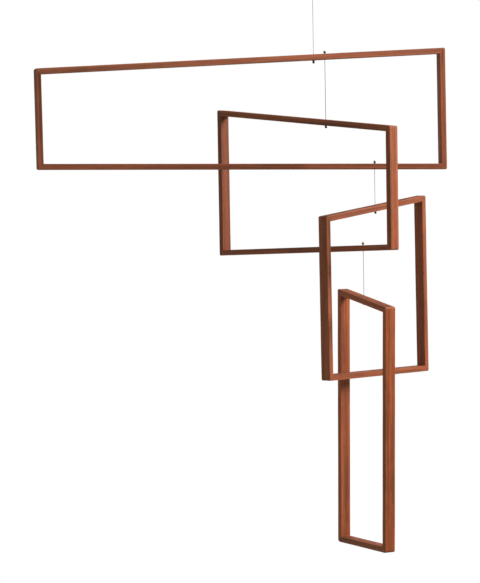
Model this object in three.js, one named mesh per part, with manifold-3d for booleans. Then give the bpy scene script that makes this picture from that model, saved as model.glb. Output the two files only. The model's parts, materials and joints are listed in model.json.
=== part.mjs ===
// Hanging mobile: four slender four-sided wooden frames on thin plumb lines.
// Frame 1 hangs from a small ring. Frames 2 and 3 hang from frame 1, and frame 4 from frame 2.
// Each frame passes through the opening of the one above it, as chain links do, without touching.
// Millimetres, +Z up. The origin is where a hook bears on the inside top of the ring, and
// frame 1 lies along X.
import * as THREE from "three";
import { mergeVertices } from "three/addons/utils/BufferGeometryUtils.js";
import Module from "manifold-3d";

// The wooden strip that every frame is made of
const STRIP_THICKNESS = 6.9; // in the plane of the frame
const STRIP_DEPTH = 13.3; // through the frame
const EDGE_EASE = 0.4; // softened long edges
const CORNER_RADIUS = 2; // sanded outer corners
const CORNER_STEPS = 4; // facets in each rounded corner
const MITRE_GAP = 0.3; // between two strips at a mitre

// The lines and what holds them
const LINE_DIAMETER = 0.6;
const LINE_SIDES = 8;
const CLEARANCE = 0.3; // between a line and its hole, its stops and its ring
const HOLE_SIDES = 16;
const STOP_DIAMETER = 2.8;
const STOP_ROUND = 0.8; // rounded ends of a stop
const STOP_SIDES = 12;

// The ring at the top
const RING_WIRE = 1.6;
const RING_INNER_DIAMETER = 10;
const RING_SIDES = 12;
const RING_STEPS = 32;

// Line 1, from the underside of the ring to the top rail of frame 1
const LINE_1_LENGTH = 71.4;
const RING_CENTRE_Z = -RING_INNER_DIAMETER / 2;
const RING_BOTTOM_Z = -RING_INNER_DIAMETER - RING_WIRE;
const FRAME_1_Z = RING_BOTTOM_Z - CLEARANCE - LINE_1_LENGTH;

// The frames. Corners are the outer corners, top left, top right, bottom right and bottom left,
// as [distance along the frame, height], measured from where the frame's own line meets the
// top of its top rail. turn is in degrees from the frame it hangs on, along is the place of
// the line on that frame, and drop is from that frame's line down to this one's top rail.
// A stop has a length, and a lean in degrees: its free end goes left above a rail, right below.
const FRAMES = [
  {
    number: 1,
    turn: 0,
    corners: [[-336.3, -16], [163.4, 7.5], [163.9, -139.5], [-335.3, -133.5]],
    stop: { length: 3.6, lean: 0 },
  },
  {
    number: 2,
    hangsFrom: { number: 1, rail: "top_rail", along: 14, drop: 78, stop: { length: 3, lean: 22 } },
    turn: -61,
    corners: [[-187.6, 19], [111.9, -11.5], [111.5, -156], [-187.6, -164]],
    stop: { length: 3, lean: 0 },
  },
  {
    number: 3,
    hangsFrom: { number: 1, rail: "bottom_rail", along: 74, drop: 181.5, stop: { length: 3.2, lean: 5 } },
    turn: 32.5,
    corners: [[-95.3, -12], [88, 11], [89.5, -206], [-94.3, -206]],
    stop: { length: 2.6, lean: 25 },
  },
  {
    number: 4,
    hangsFrom: { number: 2, rail: "bottom_rail", along: 59.5, drop: 212, stop: { length: 2.8, lean: 20 } },
    turn: -14,
    corners: [[-49.7, 9], [58.5, -10], [50, -297.5], [-57.7, -297]],
    stop: { length: 2, lean: 0 },
  },
];

// Strip i runs from corner i to the next corner.
const STRIP_NAMES = ["top_rail", "right_stile", "bottom_rail", "left_stile"];

const wasm = await Module();
wasm.setup();

const wood = new THREE.MeshStandardMaterial({ color: 0x9c5a3c, roughness: 0.55, metalness: 0 });
const cord = new THREE.MeshStandardMaterial({ color: 0xb4b4b2, roughness: 0.5, metalness: 0 });
const dark = new THREE.MeshStandardMaterial({ color: 0x2e2620, roughness: 0.6, metalness: 0 });
const metal = new THREE.MeshStandardMaterial({ color: 0x8d8a84, roughness: 0.35, metalness: 1 });

/** A closed geometry as a manifold solid. */
function toSolid(geometry) {
  const bare = geometry.clone();
  bare.deleteAttribute("normal");
  bare.deleteAttribute("uv");
  const merged = mergeVertices(bare, 1e-4);
  return new wasm.Manifold(
    new wasm.Mesh({
      numProp: 3,
      vertProperties: Float32Array.from(merged.attributes.position.array),
      triVerts: Uint32Array.from(merged.index.array),
    })
  );
}

/** A manifold solid as a geometry with flat faces. */
function toGeometry(solid) {
  const mesh = solid.getMesh();
  const geometry = new THREE.BufferGeometry();
  geometry.setAttribute("position", new THREE.BufferAttribute(mesh.vertProperties, mesh.numProp));
  geometry.setIndex(new THREE.BufferAttribute(mesh.triVerts, 1));
  geometry.computeVertexNormals();
  return geometry;
}

/** Turns a shape drawn along the frame and upwards into a slab centred on the frame's plane. */
function standUp(geometry, depth) {
  geometry.translate(0, 0, -depth / 2);
  geometry.rotateX(Math.PI / 2);
  return geometry;
}

/** The corners of the opening: each side of the outline moved in by the strip's thickness. */
function insetCorners(corners, inset) {
  const sides = corners.map((corner, i) => {
    const next = corners[(i + 1) % corners.length];
    const direction = next.clone().sub(corner).normalize();
    const inward = new THREE.Vector2(direction.y, -direction.x);
    return { point: corner.clone().addScaledVector(inward, inset), direction };
  });
  return sides.map((side, i) => {
    const before = sides[(i + sides.length - 1) % sides.length];
    const reach = before.point.clone().sub(side.point);
    const along = reach.cross(before.direction) / side.direction.cross(before.direction);
    return side.point.clone().addScaledVector(side.direction, along);
  });
}

/** A closed outline whose corners are rounded by short facets. */
function roundedShape(corners, radius) {
  const shape = new THREE.Shape();
  corners.forEach((corner, i) => {
    const before = corners[(i + corners.length - 1) % corners.length];
    const after = corners[(i + 1) % corners.length];
    const back = before.clone().sub(corner).normalize();
    const ahead = after.clone().sub(corner).normalize();
    const halfAngle = Math.acos(back.dot(ahead)) / 2;
    const tangent = radius / Math.tan(halfAngle);
    const middle = back.clone().add(ahead).normalize();
    const centre = corner.clone().addScaledVector(middle, radius / Math.sin(halfAngle));
    const first = corner.clone().addScaledVector(back, tangent).sub(centre);
    const last = corner.clone().addScaledVector(ahead, tangent).sub(centre);
    const sweep = Math.atan2(first.cross(last), first.dot(last));
    for (let step = 0; step <= CORNER_STEPS; step++) {
      const spoke = first.clone().rotateAround(new THREE.Vector2(), (sweep * step) / CORNER_STEPS);
      const point = centre.clone().add(spoke);
      if (i === 0 && step === 0) {
        shape.moveTo(point.x, point.y);
      } else {
        shape.lineTo(point.x, point.y);
      }
    }
  });
  shape.closePath();
  return shape;
}

/** The whole frame as one ring of strip section, with its long edges softened. */
function frameRing(outer, inner) {
  const shape = roundedShape(outer, CORNER_RADIUS);
  shape.holes.push(new THREE.Path(inner.slice().reverse()));
  const geometry = new THREE.ExtrudeGeometry(shape, {
    depth: STRIP_DEPTH - 2 * EDGE_EASE,
    bevelThickness: EDGE_EASE,
    bevelSize: EDGE_EASE,
    bevelOffset: -EDGE_EASE,
    bevelSegments: 1,
    curveSegments: 1,
  });
  geometry.translate(0, 0, EDGE_EASE);
  return toSolid(standUp(geometry, STRIP_DEPTH));
}

/** The block between the mitre planes at the two ends of a strip. */
function mitreWedge(outer, inner, i) {
  const reach = STRIP_THICKNESS;
  const ends = [i, (i + 1) % outer.length].map((corner, end) => {
    const across = outer[corner].clone().sub(inner[corner]).normalize();
    const along = new THREE.Vector2(across.y, -across.x);
    along.multiplyScalar(end === 0 ? MITRE_GAP / 2 : -MITRE_GAP / 2);
    return {
      outside: outer[corner].clone().addScaledVector(across, reach).add(along),
      inside: inner[corner].clone().addScaledVector(across, -reach / 2).add(along),
    };
  });
  const shape = new THREE.Shape([ends[0].outside, ends[1].outside, ends[1].inside, ends[0].inside]);
  const depth = STRIP_DEPTH * 2;
  return toSolid(standUp(new THREE.ExtrudeGeometry(shape, { depth, bevelEnabled: false }), depth));
}

/** A plumb drill through a rail, wide enough for a line with its clearance. */
function drill(along, height) {
  const radius = LINE_DIAMETER / 2 + CLEARANCE;
  const geometry = new THREE.CylinderGeometry(radius, radius, STRIP_THICKNESS * 3, HOLE_SIDES);
  geometry.rotateX(Math.PI / 2);
  geometry.translate(along, 0, height);
  return toSolid(geometry);
}

/** Where a rail's outer or inner edge is, at a distance along the frame. */
function edgeHeight(corners, rail, along) {
  const [a, b] = rail === "top_rail" ? [corners[0], corners[1]] : [corners[2], corners[3]];
  return a.y + ((along - a.x) * (b.y - a.y)) / (b.x - a.x);
}

/** How far a sloping rail falls across half a stop. */
function slopeAllowance(corners, rail) {
  const rise = edgeHeight(corners, rail, STOP_DIAMETER / 2) - edgeHeight(corners, rail, 0);
  return Math.abs(rise);
}

function namedMesh(name, geometry, material) {
  const mesh = new THREE.Mesh(geometry, material);
  mesh.name = name;
  return mesh;
}

/** A straight plumb line between two heights. */
function lineMesh(name, top, bottom) {
  const circle = new THREE.Shape();
  for (let side = 0; side < LINE_SIDES; side++) {
    const angle = (2 * Math.PI * side) / LINE_SIDES;
    const x = (LINE_DIAMETER / 2) * Math.cos(angle);
    const y = (LINE_DIAMETER / 2) * Math.sin(angle);
    if (side === 0) {
      circle.moveTo(x, y);
    } else {
      circle.lineTo(x, y);
    }
  }
  circle.closePath();
  const options = { depth: top - bottom, bevelEnabled: false, curveSegments: 1 };
  const mesh = namedMesh(name, new THREE.ExtrudeGeometry(circle, options), cord);
  mesh.position.z = bottom;
  return mesh;
}

/** A small dark stop with rounded ends, standing on its own origin. */
function stopMesh(name, length) {
  const radius = STOP_DIAMETER / 2;
  const profile = [
    [0, 0],
    [radius - STOP_ROUND, 0],
    [radius, STOP_ROUND],
    [radius, length - STOP_ROUND],
    [radius - STOP_ROUND, length],
    [0, length],
  ].map(([x, y]) => new THREE.Vector2(x, y));
  const geometry = new THREE.LatheGeometry(profile, STOP_SIDES);
  geometry.rotateX(Math.PI / 2);
  return namedMesh(name, geometry, dark);
}

/** How far a leaning stop's foot stays off its rail, so that its rim clears the rail too. */
function footGap(lean, allowance) {
  return allowance + CLEARANCE + (STOP_DIAMETER / 2 - STOP_ROUND) * Math.sin(lean);
}

/** A stop above a rail, clear of the line and the rail. */
function upperStop(name, stop, along, railTop, allowance) {
  const mesh = stopMesh(name, stop.length);
  const lean = THREE.MathUtils.degToRad(stop.lean);
  mesh.rotation.y = -lean;
  mesh.position.set(along, 0, railTop + footGap(lean, allowance));
  return mesh;
}

/** A stop below a rail, clear of the line and the rail. */
function lowerStop(name, stop, along, railBottom, allowance) {
  const mesh = stopMesh(name, stop.length);
  const lean = THREE.MathUtils.degToRad(stop.lean);
  mesh.rotation.y = Math.PI - lean;
  mesh.position.set(along, 0, railBottom - footGap(lean, allowance));
  return mesh;
}

/** The four strips of a frame, drilled where lines pass through. */
function frameMeshes(frame, outer, inner) {
  const ring = frameRing(outer, inner);
  const holes = FRAMES.filter((child) => child.hangsFrom?.number === frame.number).map(
    (child) => child.hangsFrom
  );
  holes.push({ rail: "top_rail", along: 0 });
  return STRIP_NAMES.map((strip, i) => {
    let solid = ring.intersect(mitreWedge(outer, inner, i));
    for (const hole of holes.filter((one) => one.rail === strip)) {
      solid = solid.subtract(drill(hole.along, edgeHeight(outer, strip, hole.along)));
    }
    return namedMesh(`frame_${frame.number}_${strip}`, toGeometry(solid), wood);
  });
}

/** The ring that hangs on a hook. */
function ringMesh() {
  const radius = (RING_INNER_DIAMETER + RING_WIRE) / 2;
  const geometry = new THREE.TorusGeometry(radius, RING_WIRE / 2, RING_SIDES, RING_STEPS);
  geometry.rotateX(Math.PI / 2);
  const mesh = namedMesh("hanging_ring", geometry, metal);
  mesh.position.z = RING_CENTRE_Z;
  return mesh;
}

/** The line that carries a frame, and the stop under that frame's top rail. */
function lineMeshes(frame, inner, place) {
  const railBottom = place.frameZ + edgeHeight(inner, "top_rail", 0);
  const line = lineMesh(`line_${frame.number}`, place.lineTop, railBottom);
  line.position.x = place.along;
  const allowance = slopeAllowance(inner, "top_rail");
  const name = `line_${frame.number}_lower_stop`;
  return [line, lowerStop(name, frame.stop, place.along, railBottom, allowance)];
}

/** Where frame 1 hangs: straight below the ring. */
function placeUnderRing(parent) {
  return { parent, along: 0, lineTop: RING_BOTTOM_Z - CLEARANCE, frameZ: FRAME_1_Z };
}

/** Where a lower frame hangs: on a line that goes up through a rail to a stop above it. */
function placeUnderRail(number, from, carrier) {
  const edge = from.rail === "top_rail" ? carrier.outer : carrier.inner;
  const lineTop = edgeHeight(edge, from.rail, from.along);
  const allowance = slopeAllowance(edge, from.rail);
  const name = `line_${number}_upper_stop`;
  carrier.group.add(upperStop(name, from.stop, from.along, lineTop, allowance));
  return { parent: carrier.group, along: from.along, lineTop, frameZ: -from.drop };
}

const mobile = new THREE.Group();
mobile.add(ringMesh());

const hung = new Map();
for (const frame of FRAMES) {
  const outer = frame.corners.map(([along, height]) => new THREE.Vector2(along, height));
  const inner = insetCorners(outer, STRIP_THICKNESS);
  const group = new THREE.Group();
  hung.set(frame.number, { group, outer, inner });

  const from = frame.hangsFrom;
  const place = from
    ? placeUnderRail(frame.number, from, hung.get(from.number))
    : placeUnderRing(mobile);
  group.position.set(place.along, 0, place.frameZ);
  group.rotation.z = THREE.MathUtils.degToRad(frame.turn);
  group.add(...frameMeshes(frame, outer, inner));
  place.parent.add(group, ...lineMeshes(frame, inner, place));
}

export default mobile;
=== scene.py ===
"""Looks of the hanging mobile: four slender wooden frames on thin plumb lines.

Metres, +Z up. The outlines of the strips are read from the CAD frame, and each strip, line,
stop and ring is built again here with its finer shape and its finish.
"""

import json
import math
import random

import bmesh
import bpy
from mathutils import Matrix, Vector


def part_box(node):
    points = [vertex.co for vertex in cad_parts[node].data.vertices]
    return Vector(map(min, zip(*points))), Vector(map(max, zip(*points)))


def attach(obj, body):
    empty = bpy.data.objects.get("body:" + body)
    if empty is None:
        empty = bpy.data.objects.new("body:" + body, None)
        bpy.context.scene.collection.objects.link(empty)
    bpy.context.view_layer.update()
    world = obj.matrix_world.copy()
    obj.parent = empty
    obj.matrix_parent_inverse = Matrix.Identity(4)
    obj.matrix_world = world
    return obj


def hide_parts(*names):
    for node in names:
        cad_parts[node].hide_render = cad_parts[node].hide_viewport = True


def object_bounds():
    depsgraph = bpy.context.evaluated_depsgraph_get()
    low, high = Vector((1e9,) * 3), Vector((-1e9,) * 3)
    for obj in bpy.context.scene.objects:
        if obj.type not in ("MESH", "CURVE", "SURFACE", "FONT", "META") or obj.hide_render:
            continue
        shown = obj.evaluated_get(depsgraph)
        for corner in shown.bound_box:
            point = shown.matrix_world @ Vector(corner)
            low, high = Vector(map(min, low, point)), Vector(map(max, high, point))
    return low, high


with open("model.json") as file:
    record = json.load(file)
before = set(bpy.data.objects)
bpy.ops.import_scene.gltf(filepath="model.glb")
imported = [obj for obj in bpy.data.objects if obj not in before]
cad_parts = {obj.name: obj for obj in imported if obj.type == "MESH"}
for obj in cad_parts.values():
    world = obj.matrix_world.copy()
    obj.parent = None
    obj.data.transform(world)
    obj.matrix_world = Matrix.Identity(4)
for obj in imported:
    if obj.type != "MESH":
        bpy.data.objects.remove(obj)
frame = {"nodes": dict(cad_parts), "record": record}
cad_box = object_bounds()

MM = 0.001
CLEARANCE = 0.3 * MM  # what the CAD leaves between touching pieces
UP = Vector((0, 0, 1))
WHITE = (1, 1, 1)
SEED = 20

# Camera, in metres and degrees
CAMERA_PLACE = Vector((-0.7164, -2.6117, -0.2593))
CAMERA_YAW = -13.376
CAMERA_PITCH = -2.248
CAMERA_ROLL = -1.004
CAMERA_LENS = 139.29
CAMERA_SENSOR = 36
CAMERA_REACH = 100

# Light and floor
KEY_AZIMUTH = 65  # degrees from straight in front of frame 1 towards its right
KEY_ELEVATION = 28
LIGHT_DISTANCE = 2.6  # from the middle of the mobile
LIGHT_SIZE = 1.2  # across
KEY_POWER = 68
KEY_COLOUR = (1.02, 0.905, 0.855)
BACK_LIGHT_POWER = 30  # straight behind the mobile, for the sides that the camera does not see
AMBIENT = 0.27
AMBIENT_COLOUR = (0.94, 1.085, 1.075)
FLOOR_DROP = 3.2  # the floor below the lowest point of the mobile
FLOOR_RADIUS = 14
FLOOR_SIDES = 96
FLOOR_FADE = (1.3, 2.8)  # how far from its centre it passes over into the white surroundings
FLOOR_COLOUR = (0.9, 0.895, 0.885)
FLOOR_GLOW = 0.42  # a light of its own, which keeps the floor pale
FLOOR_GLOW_COLOUR = (1, 0.995, 0.985)

# The colours of the wood, the lines, the stops and the ring
WOOD_DARK, WOOD_LIGHT = (0.250, 0.070, 0.030), (0.500, 0.134, 0.051)
STREAK_DARK, STREAK_LIGHT = (0.161, 0.051, 0.024), (0.653, 0.196, 0.073)
THREAD_COLOUR = (0.153, 0.044, 0.021)
WARM_STRETCH = (0.525, 0.130, 0.050)
RIBBON_COLOUR = (0.668, 0.204, 0.079)
PORE_COLOUR = (0.071, 0.022, 0.012)
RUBBED_AND_HIGHLIGHT_WOOD = (0.716, 0.259, 0.115)
# lighter colour on the softened edges: partly rubbed wear, partly a painted highlight
END_GRAIN = (0.197, 0.055, 0.027)
GLUE_COLOUR = (0.585, 0.270, 0.1148)
GRIME_COLOUR = (0.099, 0.030, 0.0148)
LINE_DARK, LINE_LIGHT = (0.34, 0.34, 0.345), (0.50, 0.50, 0.505)
STOP_DARK, STOP_LIGHT = (0.019, 0.0135, 0.010), (0.054, 0.038, 0.027)
RUBBED_STOP = (0.16, 0.125, 0.10)
STEEL_DARK, STEEL_LIGHT = (0.34, 0.325, 0.30), (0.56, 0.55, 0.53)

# Frames and strips
FRAMES = (1, 2, 3, 4)  # each hangs on the line of its own number
STRIP_NAMES = ("top_rail", "right_stile", "bottom_rail", "left_stile")
OUTWARD = (Vector((0, 1)), Vector((1, 0)), Vector((0, -1)), Vector((-1, 0)))
STRIP_TONES = {  # how light each frame's strips are, in the order of STRIP_NAMES
    1: (1.15, 1.06, 0.82, 0.89),
    2: (1.02, 1.13, 1.16, 0.78),
    3: (1.06, 0.93, 0.9, 1.05),
    4: (1.17, 1.22, 1.08, 1.24),
}
STRIP_RICHNESS = {(1, 0): 0.96, (2, 1): 1.03, (4, 1): 1.05, (4, 3): 1.02}  # 1 on the others
CORNER_RADIUS = 1.9 * MM  # sanded outer corners
ROUNDER_CORNERS = {(1, 0): 2.2 * MM, (4, 2): 2.8 * MM, (4, 3): 3.4 * MM}  # frame and corner
CORNER_STEPS = 7
EASE = 0.62 * MM  # mean radius of the softened long edges
EASE_SWING = 0.16 * MM  # and how much hand sanding changes it
EASE_SPACING = 23 * MM  # the change is smooth, from one such length to the next
EASE_STEPS = 4
LONG_EDGES = ((-1, -1), (1, -1), (1, 1), (-1, 1))  # their sides inwards and through, in order
SUPPORT = 0.35 * MM  # flat shading starts this far from a softened edge
TRANSITION = 14 * MM  # sections turn from the mitre to square over this length
TRANSITION_STEPS = 6
STATION = 5 * MM  # from one section to the next on the straight part of a strip
SEAM_GAP = 0.02 * MM
SEAM_CHAMFER = 0.09 * MM
HOLE_RADIUS = 0.55 * MM
HOLE_SIDES = 24
DRILL_REACH = 5 * MM  # the drill goes this far past a rail above and below
SHARP_ANGLE = 40  # degrees, from which an edge between two faces is sharp
SAME_PLACE = 7  # decimals of a metre to which two points of a strip are the same
FIBRE_WANDER = (1.6 * MM, 1.1 * MM)  # the width of it, through the frame and across the strip

# How clearly the glue line shows at a corner, from 0 to 1: frame and corner, top left first
GLUE_LINE = 0.3
GLUE_LINE_FADE = (0.15 * MM, 0.7 * MM)  # it fades out between these distances from the mitre
GRIME_WIDTH = 0.11 * MM
CLEAR_GLUE_LINES = {(1, 0): 0.55, (1, 2): 0.5, (1, 3): 0.5, (4, 1): 1.0, (4, 3): 0.9}

# Lines and stops. Line 1 hangs from the ring, and the others from a rail of another frame.
CARRIERS = {2: (1, "top_rail"), 3: (1, "bottom_rail"), 4: (2, "bottom_rail")}
LINE_DIAMETER = 0.6 * MM
LINE_TONES = {1: 1.0, 2: 0.02, 3: 1.0, 4: 0.7}  # how light each line is
LINE_BEVEL_RESOLUTION = 4
STRAIGHT_POINTS = 14
BEND_POINTS = 5
BEND_LENGTH = 1.2 * MM  # where a line turns from plumb into a sleeve
SLEEVE_POINTS = 4  # of the line, in a sleeve and its tail
SLEEVE_DIAMETER = 2.8 * MM
SLEEVE_BORE = 0.7 * MM  # radius
SLEEVE_SIDES = 36
SLEEVE_ROWS = 7
SLEEVE_RIM = 0.45 * MM
RIM_STEPS = 6
BORE_EASE = (0.12 * MM, 0.22 * MM)  # outwards and along, at the mouth of the bore
BORE_RUB = 0.3  # how much of a rim's rubbed look the bore's edge has
PRESS = 0.24  # how far a sleeve's waist is pressed in, as a share of its radius
BULGE = 0.05  # and how far it bulges the other way
LUMP_WAVES = (2, 3, 5)
LUMP_SIZES = (0.01, 0.03)
SLEEVE_LEANS = {  # degrees, as in the CAD frame
    "line_2_upper_stop": 22,
    "line_3_upper_stop": 5,
    "line_3_lower_stop": 25,
    "line_4_upper_stop": 20,
}
SLEEVE_TONE = 3.4  # how light the sleeves are
SLEEVE_TONES = {"line_3_upper_stop": 4.6, "line_4_upper_stop": 8.0}  # these two are paler
SLEEVE_SHIFT = 0.45 * MM  # the line pulls an upper sleeve this far along its rail
SEATING = 0.05 * MM  # a sleeve's rim clears its rail by this much
UPPER_TAIL = 0.9 * MM  # line left standing out of an upper sleeve
LOWER_TAIL = 0.1 * MM

# Ring and knot, with angles in degrees
RING_SPLIT = 2.5  # how much of the ring is left open
RING_SPLIT_AT = 125  # from the bottom of the ring
RING_STEPS = 96
RING_SIDES = 24
LOOP_START, LOOP_SWEEP = -35, 250  # where the line passes over the wire
LOOP_STEPS = 12
LOOP_SLACK = 1.05  # the loop's distance from the wire, in radii of the line
KNOT_TURNS = 5
KNOT_START = 60
KNOT_STEPS = 16  # in a turn
KNOT_PITCH = 1.04 * LINE_DIAMETER
KNOT_RADIUS = 1.03 * LINE_DIAMETER
KNOT_DROP = 0.9 * MM  # the first turn below the top of the line
KNOT_END = ((0.5 * MM, 0.4 * MM), (1.3 * MM, 0.9 * MM))  # outwards and down from the last turn
TUBE_SIDES = 16
TUBE_END_EASE = 0.28  # as a share of the tube's radius


# ---------------------------------------------------------------- meshes

def skin(bm, rings, closed=False):
    """Smooth faces from each ring of vertices to the next, back to the first or with end caps."""
    following = rings[1:] + rings[:1] if closed else rings[1:]
    for a, b in zip(rings, following):
        for k in range(len(a)):
            j = (k + 1) % len(a)
            bm.faces.new((a[k], a[j], b[j], b[k])).smooth = True
    if not closed:
        bm.faces.new(rings[0][::-1])
        bm.faces.new(rings[-1])
    bmesh.ops.recalc_face_normals(bm, faces=bm.faces)


def mesh_from(bm, name):
    mesh = bpy.data.meshes.new(name)
    bm.to_mesh(mesh)
    bm.free()
    return mesh


# ---------------------------------------------------------------- camera, light and floor

def make_camera():
    data = bpy.data.cameras.new("camera")
    data.sensor_width = CAMERA_SENSOR
    data.lens = CAMERA_LENS
    data.clip_end = CAMERA_REACH
    camera = bpy.data.objects.new("camera", data)
    turn = Matrix.Rotation(math.radians(CAMERA_YAW), 4, "Z")
    tilt = Matrix.Rotation(math.radians(90 + CAMERA_PITCH), 4, "X")
    roll = Matrix.Rotation(math.radians(CAMERA_ROLL), 4, "Z")
    camera.matrix_world = Matrix.Translation(CAMERA_PLACE) @ turn @ tilt @ roll
    bpy.context.scene.collection.objects.link(camera)
    bpy.context.scene.camera = camera


def make_world():
    """White where the camera looks past the mobile, and a low even light on the mobile itself."""
    world = bpy.data.worlds.new("studio")
    world.use_nodes = True
    nodes, links = world.node_tree.nodes, world.node_tree.links
    nodes.clear()
    seen = nodes.new("ShaderNodeBackground")
    seen.inputs["Color"].default_value = (*WHITE, 1)
    seen.inputs["Strength"].default_value = 1.0
    ambient = nodes.new("ShaderNodeBackground")
    ambient.inputs["Color"].default_value = (*AMBIENT_COLOUR, 1)
    ambient.inputs["Strength"].default_value = AMBIENT
    path = nodes.new("ShaderNodeLightPath")
    mix = nodes.new("ShaderNodeMixShader")
    out = nodes.new("ShaderNodeOutputWorld")
    links.new(path.outputs["Is Camera Ray"], mix.inputs[0])
    links.new(ambient.outputs[0], mix.inputs[1])
    links.new(seen.outputs[0], mix.inputs[2])
    links.new(mix.outputs[0], out.inputs["Surface"])
    bpy.context.scene.world = world
    bpy.context.scene.view_settings.view_transform = "Standard"


def make_light(name, centre, azimuth, elevation, power, colour):
    """A soft round light that faces the mobile. Azimuth 0 is straight in front of frame 1."""
    data = bpy.data.lights.new(name, "AREA")
    data.shape = "DISK"
    data.size = LIGHT_SIZE
    data.energy = power
    data.color = colour
    light = bpy.data.objects.new(name, data)
    azimuth, elevation = math.radians(azimuth), math.radians(elevation)
    towards = Vector((
        math.sin(azimuth) * math.cos(elevation),
        -math.cos(azimuth) * math.cos(elevation),
        math.sin(elevation),
    ))
    light.location = centre + towards * LIGHT_DISTANCE
    light.rotation_euler = towards.to_track_quat("Z", "Y").to_euler()
    light.visible_camera = False
    bpy.context.scene.collection.objects.link(light)
    return light


def make_floor(centre, height):
    """A pale floor that passes over into the white surroundings."""
    bm = bmesh.new()
    bmesh.ops.create_circle(bm, cap_ends=True, segments=FLOOR_SIDES, radius=FLOOR_RADIUS)
    mesh = mesh_from(bm, "floor")
    floor = bpy.data.objects.new("floor", mesh)
    floor.location = (centre.x, centre.y, height)
    material = bpy.data.materials.new("floor")
    material.use_nodes = True
    nodes, links = material.node_tree.nodes, material.node_tree.links
    nodes.clear()
    place = nodes.new("ShaderNodeTexCoord")
    radius = nodes.new("ShaderNodeVectorMath")
    radius.operation = "LENGTH"
    fade = nodes.new("ShaderNodeMapRange")
    fade.interpolation_type = "SMOOTHSTEP"
    fade.inputs["From Min"].default_value = FLOOR_FADE[0]
    fade.inputs["From Max"].default_value = FLOOR_FADE[1]
    matt = nodes.new("ShaderNodeBsdfDiffuse")
    matt.inputs["Color"].default_value = (*FLOOR_COLOUR, 1)
    surroundings = nodes.new("ShaderNodeEmission")
    surroundings.inputs["Color"].default_value = (*WHITE, 1)
    glow = nodes.new("ShaderNodeEmission")
    glow.inputs["Color"].default_value = (*FLOOR_GLOW_COLOUR, 1)
    glow.inputs["Strength"].default_value = FLOOR_GLOW
    lifted = nodes.new("ShaderNodeAddShader")
    mix = nodes.new("ShaderNodeMixShader")
    out = nodes.new("ShaderNodeOutputMaterial")
    links.new(place.outputs["Object"], radius.inputs[0])
    links.new(radius.outputs["Value"], fade.inputs["Value"])
    links.new(matt.outputs[0], lifted.inputs[0])
    links.new(glow.outputs[0], lifted.inputs[1])
    links.new(fade.outputs["Result"], mix.inputs[0])
    links.new(lifted.outputs[0], mix.inputs[1])
    links.new(surroundings.outputs[0], mix.inputs[2])
    links.new(mix.outputs[0], out.inputs["Surface"])
    mesh.materials.append(material)
    floor.visible_diffuse = False
    floor.visible_glossy = False
    floor.visible_transmission = False
    bpy.context.scene.collection.objects.link(floor)


def make_studio():
    """The camera, the lights and the floor round the mobile."""
    low, high = cad_box
    middle = (low + high) / 2
    make_camera()
    make_world()
    make_light("key_light", middle, KEY_AZIMUTH, KEY_ELEVATION, KEY_POWER, KEY_COLOUR)
    back_light = make_light("back_light", middle, 180 + CAMERA_YAW, 0, BACK_LIGHT_POWER, WHITE)
    back_light.visible_glossy = False
    make_floor(middle, low.z - FLOOR_DROP)


# ---------------------------------------------------------------- materials

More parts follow.
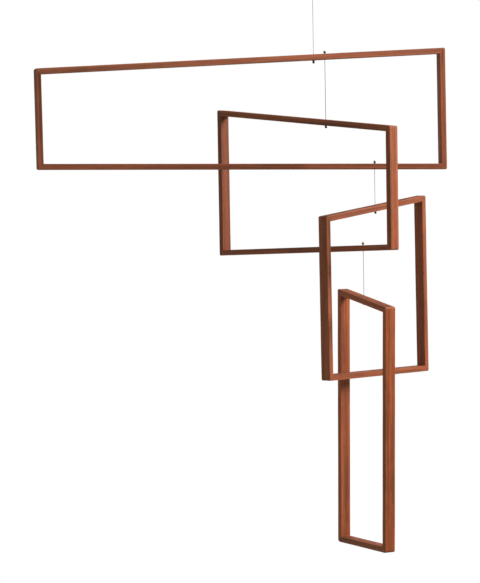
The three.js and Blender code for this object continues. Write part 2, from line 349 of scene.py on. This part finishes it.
class Nodes:
    """Short calls for building one material's node tree."""

    def __init__(self, name):
        self.material = bpy.data.materials.new(name)
        self.material.use_nodes = True
        self.tree = self.material.node_tree
        self.shader = self.tree.nodes["Principled BSDF"]

    def new(self, kind, **settings):
        node = self.tree.nodes.new(kind)
        for key, value in settings.items():
            setattr(node, key, value)
        return node

    def link(self, source, target):
        self.tree.links.new(source, target)

    def math(self, operation, a, b=None):
        """One step of arithmetic on numbers or sockets."""
        node = self.new("ShaderNodeMath", operation=operation)
        for socket, value in zip(node.inputs, (a, b)):
            if isinstance(value, (int, float)):
                socket.default_value = value
            elif value is not None:
                self.link(value, socket)
        return node.outputs[0]

    def spread(self, value, low, high, to_low=0.0, to_high=1.0, smooth=True):
        """Turns a value between low and high into one between to_low and to_high."""
        node = self.new("ShaderNodeMapRange")
        node.interpolation_type = "SMOOTHSTEP" if smooth else "LINEAR"
        node.inputs["From Min"].default_value = low
        node.inputs["From Max"].default_value = high
        node.inputs["To Min"].default_value = to_low
        node.inputs["To Max"].default_value = to_high
        self.link(value, node.inputs["Value"])
        return node.outputs["Result"]

    def mix(self, factor, a, b):
        """Colour a where the factor is 0, and b where it is 1."""
        node = self.new("ShaderNodeMix", data_type="RGBA", clamp_factor=True)
        for socket, value in ((node.inputs[0], factor), (node.inputs[6], a), (node.inputs[7], b)):
            if isinstance(value, (int, float)):
                socket.default_value = value
            elif isinstance(value, tuple):
                socket.default_value = (*value, 1)
            else:
                self.link(value, socket)
        return node.outputs[2]

    def scaled(self, vector, scale, offset=None):
        """The vector times scale, and moved by offset."""
        node = self.new("ShaderNodeVectorMath", operation="MULTIPLY")
        node.inputs[1].default_value = scale
        self.link(vector, node.inputs[0])
        if offset is None:
            return node.outputs[0]
        add = self.new("ShaderNodeVectorMath", operation="ADD")
        self.link(node.outputs[0], add.inputs[0])
        self.link(offset, add.inputs[1])
        return add.outputs[0]

    def noise(self, vector, detail, roughness=0.5):
        node = self.new("ShaderNodeTexNoise")
        node.inputs["Scale"].default_value = 1.0
        node.inputs["Detail"].default_value = detail
        node.inputs["Roughness"].default_value = roughness
        self.link(vector, node.inputs["Vector"])
        return node.outputs["Fac"]

    def own(self, name, kind="OBJECT"):
        """A property of the piece, or with kind GEOMETRY an attribute of its mesh."""
        node = self.new("ShaderNodeAttribute", attribute_type=kind, attribute_name=name)
        return node.outputs["Fac"]

    def toned(self, colour):
        """Sets the piece's colour, changed by its own properties tone and richness."""
        node = self.new("ShaderNodeHueSaturation")
        self.link(self.own("richness"), node.inputs["Saturation"])
        self.link(self.own("tone"), node.inputs["Value"])
        self.link(colour, node.inputs["Color"])
        self.link(node.outputs[0], self.shader.inputs["Base Color"])

    def bump(self, height, distance, strength):
        node = self.new("ShaderNodeBump")
        node.inputs["Strength"].default_value = strength
        node.inputs["Distance"].default_value = distance
        self.link(height, node.inputs["Height"])
        return node.outputs[0]


def wood_material():
    """Oiled reddish brown hardwood. The grain runs along each strip's own X."""
    n = Nodes("oiled_hardwood")
    coordinates = n.new("ShaderNodeTexCoord")
    place = coordinates.outputs["Object"]

    # Each strip has its own place in the noise.
    seed = n.own("grain_seed")
    shift = n.new("ShaderNodeCombineXYZ")
    for axis, step in zip("XYZ", (3.1, 7.7, 5.3)):
        n.link(n.math("MULTIPLY", seed, step), shift.inputs[axis])

    def grain(vector, along, across, **settings):
        """Noise with this many changes in a metre along the strip and across it."""
        return n.noise(n.scaled(vector, (along, across, across), shift.outputs[0]), **settings)

    # The fibres wander a little sideways along the strip.
    wander = n.math("SUBTRACT", grain(place, 9, 60, detail=1.5), 0.5)
    drift = n.new("ShaderNodeCombineXYZ")
    for axis, reach in zip("YZ", FIBRE_WANDER):
        n.link(n.math("MULTIPLY", wander, reach), drift.inputs[axis])
    fibre = n.scaled(place, (1, 1, 1), drift.outputs[0])

    broad = grain(fibre, 3, 150, detail=2.5)
    streak = grain(fibre, 6, 460, detail=3.5, roughness=0.62)
    thread = grain(fibre, 30, 2100, detail=2.0)
    pores = grain(fibre, 170, 3100, detail=1.0)
    crowding = grain(fibre, 25, 210, detail=1.0)
    stretch = grain(place, 8, 14, detail=2.0)
    ribbon = grain(fibre, 60, 170, detail=2.0)

    colour = n.mix(n.spread(broad, 0.34, 0.66), WOOD_DARK, WOOD_LIGHT)
    colour = n.mix(n.spread(streak, 0.32, 0.49, 0.85, 0.0), colour, STREAK_DARK)
    colour = n.mix(n.spread(streak, 0.52, 0.68, 0.0, 0.62), colour, STREAK_LIGHT)
    colour = n.mix(n.spread(thread, 0.35, 0.62, 0.36, 0.0), colour, THREAD_COLOUR)
    colour = n.mix(n.spread(stretch, 0.35, 0.65, 0.0, 0.22), colour, WARM_STRETCH)
    colour = n.mix(n.spread(ribbon, 0.42, 0.66, 0.0, 0.12), colour, RIBBON_COLOUR)
    crowded = n.spread(crowding, 0.38, 0.62, 0.35, 1.0)
    pore = n.math("MULTIPLY", n.spread(pores, 0.60, 0.72), crowded)
    colour = n.mix(n.math("MULTIPLY", pore, 0.55), colour, PORE_COLOUR)

    # Softened edges are painted lighter here and there: partly rubbed wear, partly a painted highlight.
    edge_patches = n.spread(grain(place, 38, 260, detail=3.0), 0.36, 0.66, 0.12, 0.75)
    arris = n.math("MULTIPLY", n.own("arris", "GEOMETRY"), edge_patches)
    colour = n.mix(n.math("MULTIPLY", arris, 0.38), colour, RUBBED_AND_HIGHLIGHT_WOOD)

    # Cut fibre ends show on the sanded corners.
    across = n.new("ShaderNodeSeparateXYZ")
    n.link(coordinates.outputs["Normal"], across.inputs[0])
    cut_ends = n.spread(n.math("ABSOLUTE", across.outputs["X"]), 0.18, 0.62)
    colour = n.mix(n.math("MULTIPLY", cut_ends, 0.35), colour, END_GRAIN)

    # The glued mitre shows as a fine pale line with a dark one in its middle.
    seam = n.own("seam", "GEOMETRY")
    patchy = n.spread(grain(place, 900, 900, detail=2.0), 0.35, 0.6, 0.35, 1.0)
    glue = n.math("MULTIPLY", n.spread(seam, *GLUE_LINE_FADE, 1.0, 0.0), patchy)
    colour = n.mix(n.math("MULTIPLY", glue, n.own("filler", "GEOMETRY")), colour, GLUE_COLOUR)
    colour = n.mix(n.spread(seam, 0.0, GRIME_WIDTH, 0.75, 0.0), colour, GRIME_COLOUR)
    n.toned(colour)

    # Pores are dull, and rubbed edges a little glossier.
    rough = n.spread(streak, 0.3, 0.7, 0.44, 0.56, smooth=False)
    rough = n.math("ADD", rough, n.math("MULTIPLY", pore, 0.22))
    rough = n.math("SUBTRACT", rough, n.math("MULTIPLY", arris, 0.09))
    n.link(rough, n.shader.inputs["Roughness"])
    relief = n.math("SUBTRACT", n.math("MULTIPLY", thread, 0.5), pore)
    relief = n.math("ADD", relief, n.math("MULTIPLY", streak, 0.6))
    n.link(n.bump(relief, distance=0.06 * MM, strength=0.8), n.shader.inputs["Normal"])
    n.shader.inputs["Specular IOR Level"].default_value = 0.35
    n.shader.inputs["IOR"].default_value = 1.48
    return n.material


def line_material():
    """Pale grey nylon line with a faint lay along it."""
    n = Nodes("nylon_line")
    place = n.new("ShaderNodeTexCoord").outputs["Object"]
    lay = n.noise(n.scaled(place, (1500, 1500, 90)), detail=2.0)
    n.toned(n.mix(n.spread(lay, 0.35, 0.65), LINE_DARK, LINE_LIGHT))
    n.link(n.spread(lay, 0.3, 0.7, 0.28, 0.44), n.shader.inputs["Roughness"])
    n.link(n.bump(lay, distance=0.02 * MM, strength=0.5), n.shader.inputs["Normal"])
    n.shader.inputs["Transmission Weight"].default_value = 0.1
    n.shader.inputs["Specular IOR Level"].default_value = 0.3
    n.shader.inputs["IOR"].default_value = 1.53
    return n.material


def stop_material():
    """Dark brown metal sleeve, rubbed on its rims."""
    n = Nodes("dark_sleeve")
    place = n.new("ShaderNodeTexCoord").outputs["Object"]
    cloud = n.noise(n.scaled(place, (900, 900, 900)), detail=4.0, roughness=0.6)
    grit = n.noise(n.scaled(place, (5200, 5200, 5200)), detail=2.0)
    colour = n.mix(n.spread(cloud, 0.35, 0.65), STOP_DARK, STOP_LIGHT)
    edge_patches = n.math("MULTIPLY", n.own("rim", "GEOMETRY"), n.spread(cloud, 0.4, 0.62))
    n.toned(n.mix(n.math("MULTIPLY", edge_patches, 0.6), colour, RUBBED_STOP))
    n.link(n.spread(grit, 0.3, 0.7, 0.42, 0.62), n.shader.inputs["Roughness"])
    n.link(n.bump(grit, distance=0.03 * MM, strength=0.7), n.shader.inputs["Normal"])
    n.shader.inputs["Metallic"].default_value = 0.55
    return n.material


def ring_material():
    """Dull drawn steel wire."""
    n = Nodes("steel_wire")
    place = n.new("ShaderNodeTexCoord").outputs["Object"]
    cloud = n.noise(n.scaled(place, (420, 420, 420)), detail=4.0, roughness=0.6)
    scratch = n.noise(n.scaled(place, (2600, 9000, 2600)), detail=2.0)
    colour = n.mix(n.spread(cloud, 0.35, 0.68), STEEL_DARK, STEEL_LIGHT)
    n.link(colour, n.shader.inputs["Base Color"])
    rough = n.math("ADD", n.spread(cloud, 0.3, 0.7, 0.26, 0.40), n.math("MULTIPLY", scratch, 0.10))
    n.link(rough, n.shader.inputs["Roughness"])
    n.link(n.bump(scratch, distance=0.02 * MM, strength=0.4), n.shader.inputs["Normal"])
    n.shader.inputs["Metallic"].default_value = 1.0
    return n.material


# ---------------------------------------------------------------- pieces

def body_of_node(node):
    bodies = frame["record"]["behaviour"]["bodies"]
    return next(body for body, nodes in bodies.items() if node in nodes)


def add_piece(name, data, material, node, matrix=None, replaces=True):
    """A named object that rides on the body of a CAD node, and stands for it."""
    piece = bpy.data.objects.new(name, data)
    if matrix is not None:
        piece.matrix_world = matrix
    bpy.context.scene.collection.objects.link(piece)
    data.materials.append(material)
    piece["tone"] = 1.0
    piece["richness"] = 1.0
    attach(piece, body_of_node(node))
    if replaces:
        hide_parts(node)
    return piece


def box_centre(node):
    low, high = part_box(node)
    return (low + high) / 2


# ---------------------------------------------------------------- outlines from the CAD frame

def edge_line(points, outward, pick):
    """The outer (pick max) or inner (pick min) long edge of a strip, as two points of its plane."""
    along = Vector((outward.y, -outward.x))
    ends = [p.dot(along) for p in points]
    middle = (min(ends) + max(ends)) / 2
    before = [p for p in points if p.dot(along) < middle]
    after = [p for p in points if p.dot(along) > middle]

    def height(pair):
        a, b = pair
        share = (middle - a.dot(along)) / (b - a).dot(along)
        return round(a.lerp(b, share).dot(outward), SAME_PLACE)

    pairs = [(a, b) for a in before for b in after]
    best = pick(height(pair) for pair in pairs)
    return max((p for p in pairs if height(p) == best), key=lambda p: (p[1] - p[0]).length)


def crossing(first, second):
    """Where two lines of a plane cross."""
    a, b = first[0], first[1] - first[0]
    c, d = second[0], second[1] - second[0]
    share = (c - a).cross(d) / b.cross(d)
    return a + b * share


class Outline:
    """One frame's plane, with the sharp outer and inner corners of its strips."""

    def __init__(self, number):
        self.number = number
        left = box_centre(f"frame_{number}_left_stile")
        right = box_centre(f"frame_{number}_right_stile")
        self.along = Vector((right.x - left.x, right.y - left.y, 0)).normalized()
        self.through = UP.cross(self.along)
        self.origin = Vector((left.x, left.y, 0))
        outer, inner, depths = [], [], []
        for strip, outward in zip(STRIP_NAMES, OUTWARD):
            vertices = frame["nodes"][f"frame_{number}_{strip}"].data.vertices
            local = [v.co - self.origin for v in vertices]
            depths += [p.dot(self.through) for p in local]
            flat = [(p.dot(self.along), p.z) for p in local]
            unique = {(round(x, SAME_PLACE), round(z, SAME_PLACE)) for x, z in flat}
            points = [Vector(p) for p in sorted(unique)]
            outer.append(edge_line(points, outward, max))
            inner.append(edge_line(points, outward, min))
        self.outer = [crossing(outer[i - 1], outer[i]) for i in range(4)]
        self.inner = [crossing(inner[i - 1], inner[i]) for i in range(4)]
        self.depth = max(depths) - min(depths)
        first = (outer[0][1] - outer[0][0]).normalized()
        self.thickness = abs((inner[0][0] - outer[0][0]).cross(first))

    def place(self, point, through=0.0):
        """A point of the plane, in the row frame."""
        return self.origin + self.along * point.x + UP * point.y + self.through * through


# ---------------------------------------------------------------- strips

def half_corner(corner, before, after, radius):
    """The half of a sanded corner on the side of after: points from its middle to the straight edge."""
    back = (before - corner).normalized()
    ahead = (after - corner).normalized()
    half = math.acos(back.dot(ahead)) / 2
    centre = corner + (back + ahead).normalized() * (radius / math.sin(half))
    first = (corner - centre).normalized() * radius
    tangent = corner + ahead * (radius / math.tan(half))
    last = tangent - centre
    sweep = math.atan2(first.cross(last), first.dot(last))
    points = []
    for step in range(CORNER_STEPS + 1):
        angle = sweep * step / CORNER_STEPS
        points.append(centre + Matrix.Rotation(angle, 2) @ first)
    return points


def end_stations(outline, start, stop):
    """Pairs of outer and inner points from the mitre at corner start to where sections are square."""
    outer, inner = outline.outer, outline.inner
    other = (start - 1) % 4 if stop == (start + 1) % 4 else (start + 1) % 4
    radius = ROUNDER_CORNERS.get((outline.number, start), CORNER_RADIUS)
    edge = half_corner(outer[start], outer[other], outer[stop], radius)
    ahead = (outer[stop] - outer[start]).normalized()
    square = outer[start] + ahead * TRANSITION
    for step in range(1, TRANSITION_STEPS + 1):
        edge.append(edge[CORNER_STEPS].lerp(square, step / TRANSITION_STEPS))
    lengths = [0.0]
    for a, b in zip(edge, edge[1:]):
        lengths.append(lengths[-1] + (b - a).length)
    foot = inner[start] + ahead * (square - inner[start]).dot(ahead)
    return [(p, inner[start].lerp(foot, s / lengths[-1])) for p, s in zip(edge, lengths)]


def strip_stations(outline, i):
    """All pairs of outer and inner points of strip i, from corner i to corner i + 1."""
    j = (i + 1) % 4
    first = end_stations(outline, i, j)
    last = end_stations(outline, j, i)[::-1]
    a, b = first[-1], last[0]
    count = max(2, round((b[0] - a[0]).length / STATION))
    between = [(a[0].lerp(b[0], k / count), a[1].lerp(b[1], k / count)) for k in range(1, count)]
    return first + between + last


def section(thickness, depth, eases):
    """A strip's section from its outer edge inwards, as (inwards, through, on a softened edge)."""
    points = []
    for (side_in, side_through), ease in zip(LONG_EDGES, eases):
        centre_in = ease if side_in < 0 else thickness - ease
        centre_through = side_through * (depth / 2 - ease)
        start = math.atan2(side_through, side_in) - math.pi / 4
        arc = []
        for step in range(EASE_STEPS + 1):
            angle = start + math.pi / 2 * step / EASE_STEPS
            inwards = centre_in + ease * math.cos(angle)
            arc.append((inwards, centre_through + ease * math.sin(angle), 1.0))
        before = Vector((math.sin(start), -math.cos(start))) * SUPPORT
        after = Vector((-math.sin(start + math.pi / 2), math.cos(start + math.pi / 2))) * SUPPORT
        points.append((arc[0][0] + before.x, arc[0][1] + before.y, 0.0))
        points += arc
        points.append((arc[-1][0] + after.x, arc[-1][1] + after.y, 0.0))
    return points


def smooth_noise(rng, length, spacing):
    """A smooth random function along a length, from -1 to 1."""
    knots = [rng.uniform(-1, 1) for _ in range(int(length / spacing) + 3)]

    def value(s):
        k, f = divmod(max(0.0, s) / spacing, 1)
        f = f * f * (3 - 2 * f)
        k = min(int(k), len(knots) - 2)
        return knots[k] * (1 - f) + knots[k + 1] * f

    return value


def drill(piece, thread):
    """Bores the plumb hole that a line runs through."""
    low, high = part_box(piece.name.removesuffix("_strip"))
    bm = bmesh.new()
    bmesh.ops.create_cone(
        bm,
        cap_ends=True,
        segments=HOLE_SIDES,
        radius1=HOLE_RADIUS,
        radius2=HOLE_RADIUS,
        depth=(high - low).z + 2 * DRILL_REACH,
    )
    bit = bpy.data.objects.new("drill", mesh_from(bm, "drill"))
    bit.location = (thread.x, thread.y, (low.z + high.z) / 2)
    bpy.context.scene.collection.objects.link(bit)
    cut = piece.modifiers.new("hole", "BOOLEAN")
    cut.operation = "DIFFERENCE"
    cut.solver = "EXACT"
    cut.object = bit
    graph = bpy.context.evaluated_depsgraph_get()
    bored = bpy.data.meshes.new_from_object(piece.evaluated_get(graph))
    bored.set_sharp_from_angle(angle=math.radians(SHARP_ANGLE))
    piece.modifiers.clear()
    piece.data = bored
    bpy.data.objects.remove(bit)


def build_strip(outline, i, material, rng):
    """One strip between its two mitres."""
    name = f"frame_{outline.number}_{STRIP_NAMES[i]}"
    corners = (i, (i + 1) % 4)
    start, end = (outline.outer[corner] for corner in corners)
    direction = (end - start).normalized()
    swings = [smooth_noise(rng, (end - start).length, EASE_SPACING) for _ in LONG_EDGES]

    # The strip's own axes: X along it, Y through the frame, Z across it, from its middle.
    x_axis = (outline.along * direction.x + UP * direction.y).normalized()
    y_axis = outline.through
    matrix = Matrix((x_axis, y_axis, x_axis.cross(y_axis))).transposed().to_4x4()
    middle = (start + end + outline.inner[corners[0]] + outline.inner[corners[1]]) / 4
    matrix.translation = outline.place(middle)
    inverse = matrix.inverted()

    bm = bmesh.new()
    layers = [bm.verts.layers.float.new(layer) for layer in ("arris", "seam", "filler")]

    def ring(outer, inner, to_seam, filler, shrink=0.0, back_off=0.0):
        """The section from outer to inner, smaller by shrink and moved along by back_off."""
        eases = [EASE + EASE_SWING * swing((outer - start).dot(direction)) for swing in swings]
        across = (inner - outer) / outline.thickness
        vertices = []
        for inwards, through, on_arris in section(outline.thickness, outline.depth, eases):
            inwards += shrink * (1 if inwards < outline.thickness / 2 else -1) / across.length
            through -= shrink * (1 if through > 0 else -1)
            point = outline.place(outer + across * inwards + direction * back_off, through)
            vertex = bm.verts.new(inverse @ point)
            for layer, value in zip(layers, (on_arris, to_seam, filler)):
                vertex[layer] = value
            vertices.append(vertex)
        return vertices

    rings = []
    fillers = [CLEAR_GLUE_LINES.get((outline.number, corner), GLUE_LINE) for corner in corners]
    stations = strip_stations(outline, i)
    last = len(stations) - 1
    for k, (outer, inner) in enumerate(stations):
        filler = fillers[0] if k < len(stations) / 2 else fillers[1]
        if k == 0:
            rings.append(ring(outer, inner, 0.0, filler, SEAM_CHAMFER, SEAM_GAP))
            rings.append(ring(outer, inner, SEAM_CHAMFER, filler, 0.0, SEAM_GAP + SEAM_CHAMFER))
        elif k == last:
            rings.append(ring(outer, inner, SEAM_CHAMFER, filler, 0.0, -SEAM_GAP - SEAM_CHAMFER))
            rings.append(ring(outer, inner, 0.0, filler, SEAM_CHAMFER, -SEAM_GAP))
        else:
            to_seam = min((outer - stations[mitre][0]).length for mitre in (0, last))
            rings.append(ring(outer, inner, to_seam, filler))
    skin(bm, rings)

    piece = add_piece(f"{name}_strip", mesh_from(bm, name), material, name, matrix)
    piece["grain_seed"] = rng.uniform(0, 9)
    piece["tone"] = STRIP_TONES[outline.number][i]
    piece["richness"] = STRIP_RICHNESS.get((outline.number, i), 1.0)
    return piece


def build_frames(outlines, rng):
    """All sixteen strips, with the holes that the lines run through."""
    wood = wood_material()
    strips = {}
    for number, outline in outlines.items():
        for i, strip in enumerate(STRIP_NAMES):
            strips[number, strip] = build_strip(outline, i, wood, rng)
    for number in outlines:
        thread = box_centre(f"line_{number}")
        drill(strips[number, "top_rail"], thread)
        if number in CARRIERS:
            drill(strips[CARRIERS[number]], thread)


# ---------------------------------------------------------------- tubes

def tube_mesh(name, points, radius, sides=TUBE_SIDES):
    """A round wire or line along points, with eased ends, as a closed mesh."""
    last = len(points) - 1
    tangents = []
    for k in range(len(points)):
        tangents.append((points[min(k + 1, last)] - points[max(k - 1, 0)]).normalized())
    normal = tangents[0].orthogonal().normalized()
    ease = radius * TUBE_END_EASE
    bm = bmesh.new()
    rings = []

    def ring(centre, tangent, size):
        side = tangent.cross(normal)
        vertices = []
        for s in range(sides):
            angle = 2 * math.pi * s / sides
            spoke = normal * math.cos(angle) + side * math.sin(angle)
            vertices.append(bm.verts.new(centre + spoke * size))
        rings.append(vertices)

    for k, (point, tangent) in enumerate(zip(points, tangents)):
        normal = (normal - tangent * normal.dot(tangent)).normalized()
        if k == 0:
            ring(point, tangent, radius - ease)
            ring(point + tangent * ease, tangent, radius)
        elif k == last:
            ring(point - tangent * ease, tangent, radius)
            ring(point, tangent, radius - ease)
        else:
            ring(point, tangent, radius)
    skin(bm, rings)
    return mesh_from(bm, name)


# ---------------------------------------------------------------- sleeves

class Sleeve:
    """Where a crimped sleeve sits: its foot at the rail, its axis away from the rail, its length."""

    def __init__(self, node, along, thread):
        low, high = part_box(node)
        lean = math.radians(SLEEVE_LEANS.get(node, 0))
        upper = node.endswith("upper_stop")
        side = 1 if upper else -1
        self.axis = Vector((0, 0, side * math.cos(lean))) - along * (side * math.sin(lean))
        self.length = ((high - low).z - SLEEVE_DIAMETER * math.sin(lean) / 2) / math.cos(lean)
        tilt = SLEEVE_DIAMETER / 2 * math.sin(lean)
        rail = low.z - CLEARANCE if upper else high.z + CLEARANCE
        self.foot = Vector((thread.x, thread.y, rail + side * (SEATING + tilt)))
        if upper:
            self.foot += along * SLEEVE_SHIFT
        self.head = self.foot + self.axis * self.length


def sleeve_profile(length):
    """A sleeve's section from its bore round its outside, as (radius, height, how rubbed)."""
    radius, rim = SLEEVE_DIAMETER / 2, SLEEVE_RIM
    outwards, along = BORE_EASE
    end = [(SLEEVE_BORE, along, BORE_RUB), (SLEEVE_BORE + outwards, 0.0, 1.0)]
    for step in range(RIM_STEPS):
        angle = math.pi / 2 * step / (RIM_STEPS - 1)
        reach = radius - rim + rim * math.sin(angle)
        end.append((reach, rim - rim * math.cos(angle), 1.0 - step / RIM_STEPS))
    side = []
    for row in range(1, SLEEVE_ROWS):
        side.append((radius, rim + (length - 2 * rim) * row / SLEEVE_ROWS, 0.0))
    return end + side + [(r, length - z, rubbed) for r, z, rubbed in reversed(end)]


def build_sleeve(node, sleeve, material, rng):
    """A short dark sleeve, pressed flat at its waist to grip the line."""
    turn = rng.uniform(0, math.pi)
    lumps = [(rng.uniform(0, 2 * math.pi), rng.uniform(*LUMP_SIZES), waves) for waves in LUMP_WAVES]
    bm = bmesh.new()
    rim_layer = bm.verts.layers.float.new("rim")
    rings = []
    for r, z, rubbed in sleeve_profile(sleeve.length):
        squeeze = math.sin(math.pi * min(1.0, max(0.0, z / sleeve.length))) ** 2
        vertices = []
        for s in range(SLEEVE_SIDES):
            angle = 2 * math.pi * s / SLEEVE_SIDES
            press = 1 - PRESS * squeeze * math.cos(angle - turn) ** 2 + BULGE * squeeze
            lump = 1 + sum(size * math.cos(waves * angle + phase) for phase, size, waves in lumps)
            size = r * (press * lump if r > SLEEVE_BORE + BORE_EASE[0] else 1)
            vertex = bm.verts.new((size * math.cos(angle), size * math.sin(angle), z))
            vertex[rim_layer] = rubbed
            vertices.append(vertex)
        rings.append(vertices)
    skin(bm, rings, closed=True)
    matrix = sleeve.axis.to_track_quat("Z", "Y").to_matrix().to_4x4()
    matrix.translation = sleeve.foot
    name = node.replace("stop", "sleeve")
    piece = add_piece(name, mesh_from(bm, node), material, node, matrix)
    piece["tone"] = SLEEVE_TONES.get(node, SLEEVE_TONE)
    return piece


# ---------------------------------------------------------------- lines

def bend_into(sleeve, start, tail):
    """Points from a plumb line's end through a sleeve to the end of its tail."""
    end = sleeve.head + sleeve.axis * tail
    entry = sleeve.foot + sleeve.axis * BEND_LENGTH / 2
    corner = Vector((start.x, start.y, sleeve.foot.z))
    points = []
    for k in range(1, BEND_POINTS + 1):
        share = k / BEND_POINTS
        points.append(start.lerp(corner, share).lerp(corner.lerp(entry, share), share))
    for k in range(1, SLEEVE_POINTS + 1):
        points.append(entry.lerp(end, k / SLEEVE_POINTS))
    return points


def build_line(number, material, upper, lower):
    """A taut plumb line between its two sleeves, or from the ring to its lower sleeve."""
    node = f"line_{number}"
    centre = box_centre(node)
    bottom = Vector((centre.x, centre.y, lower.foot.z + BEND_LENGTH / 2))
    if upper is None:
        top = Vector((centre.x, centre.y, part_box(node)[1].z))
        head = [top]
    else:
        top = Vector((centre.x, centre.y, upper.foot.z - BEND_LENGTH / 2))
        head = bend_into(upper, top, UPPER_TAIL)[::-1] + [top]
    plumb = [top.lerp(bottom, k / STRAIGHT_POINTS) for k in range(1, STRAIGHT_POINTS + 1)]
    points = head + plumb + bend_into(lower, bottom, LOWER_TAIL)

    curve = bpy.data.curves.new(node, "CURVE")
    curve.dimensions = "3D"
    curve.bevel_depth = LINE_DIAMETER / 2
    curve.bevel_resolution = LINE_BEVEL_RESOLUTION
    curve.use_fill_caps = True
    spline = curve.splines.new("POLY")
    spline.points.add(len(points) - 1)
    for place, point in zip(spline.points, points):
        place.co = (*point, 1)
    spline.use_smooth = True
    piece = add_piece(f"{node}_cord", curve, material, node)
    piece["tone"] = LINE_TONES[number]


# ---------------------------------------------------------------- ring and knot

def build_ring(material):
    """A wire ring bent round until its ends nearly meet."""
    node = "hanging_ring"
    low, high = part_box(node)
    wire = (high - low).y
    centre = (low + high) / 2
    radius = ((high - low).z - wire) / 2
    points = []
    for step in range(RING_STEPS + 1):
        sweep = (360 - RING_SPLIT) * step / RING_STEPS
        angle = math.radians(RING_SPLIT_AT + RING_SPLIT / 2 + sweep)
        points.append(centre + Vector((math.sin(angle), 0, -math.cos(angle))) * radius)
    mesh = tube_mesh(node, points, wire / 2, RING_SIDES)
    return add_piece("hanging_ring_wire", mesh, material, node)


def build_knot(material):
    """The end of line 1, looped over the ring and wound down round the standing line."""
    low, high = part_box("hanging_ring")
    wire = (high - low).y
    centre = Vector((0, 0, low.z + wire / 2))
    over = wire / 2 + LINE_DIAMETER / 2 * LOOP_SLACK
    points = []
    for step in range(LOOP_STEPS + 1):
        angle = math.radians(LOOP_START + LOOP_SWEEP * step / LOOP_STEPS)
        points.append(centre + Vector((0, -math.cos(angle), math.sin(angle))) * over)
    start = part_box("line_1")[1].z - KNOT_DROP
    for step in range(KNOT_TURNS * KNOT_STEPS + 1):
        angle = math.radians(KNOT_START) + 2 * math.pi * step / KNOT_STEPS
        spoke = Vector((math.cos(angle), math.sin(angle), 0))
        points.append(spoke * KNOT_RADIUS + UP * (start - KNOT_PITCH * step / KNOT_STEPS))
    last = points[-1]
    points += [last + spoke * outwards - UP * down for outwards, down in KNOT_END]
    mesh = tube_mesh("line_1_knot", points, LINE_DIAMETER / 2)
    piece = add_piece("line_1_knot", mesh, material, "line_1", replaces=False)
    piece["tone"] = LINE_TONES[1]
    return piece


def hang_lines(outlines, rng):
    """The ring, the knot, and each line with its sleeves."""
    nylon = line_material()
    brown = stop_material()
    ring = build_ring(ring_material())
    for number, outline in outlines.items():
        thread = box_centre(f"line_{number}")
        lower_node = f"line_{number}_lower_stop"
        lower = Sleeve(lower_node, outline.along, thread)
        on_line = [build_sleeve(lower_node, lower, brown, rng)]
        if number in CARRIERS:
            upper_node = f"line_{number}_upper_stop"
            upper = Sleeve(upper_node, outlines[CARRIERS[number][0]].along, thread)
            on_line.append(build_sleeve(upper_node, upper, brown, rng))
        else:
            upper = None
            on_line += [ring, build_knot(nylon)]
        build_line(number, nylon, upper, lower)


# ---------------------------------------------------------------- the whole

make_studio()
rng = random.Random(SEED)
outlines = {number: Outline(number) for number in FRAMES}
hang_lines(outlines, rng)
build_frames(outlines, rng)
